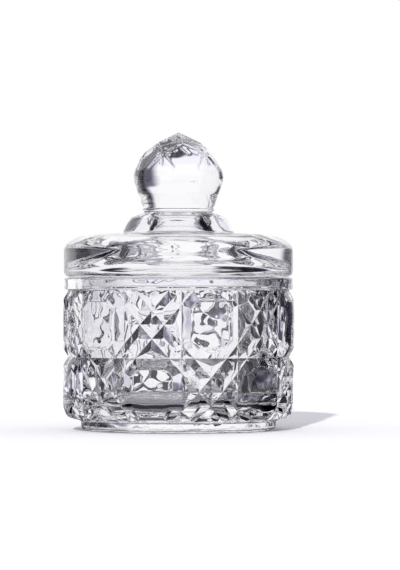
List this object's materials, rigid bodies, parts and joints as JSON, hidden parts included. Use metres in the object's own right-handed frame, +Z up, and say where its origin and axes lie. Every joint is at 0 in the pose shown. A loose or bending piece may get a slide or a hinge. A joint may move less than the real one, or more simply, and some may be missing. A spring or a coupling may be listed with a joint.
{
  "type": "candy dish",
  "caption": "Round lidded candy dish of clear pressed glass: a heavy bowl cut in diamonds and raised blocks, and a loose flanged lid with a collar and faceted ball knob.",
  "frame": {"origin": "on the standing surface, under the middle of the foot", "axes": "+Z up along the common axis of bowl and lid; -Y is the front, where a line between two columns of the cut pattern faces the viewer"},
  "size_m": [0.0996, 0.0996, 0.1291],
  "materials": {
    "clear_glass": "fire-polished clear pressed glass with a faint cool tint"
  },
  "bodies": {
    "bowl": {"bowl": "clear_glass"},
    "lid": {"lid": "clear_glass"}
  },
  "joints": [
    {"name": "lid_lift", "type": "slide", "parent": "bowl", "child": "lid", "axis": [0, 0, 1], "range_m": [0, 0.08]}
  ]
}
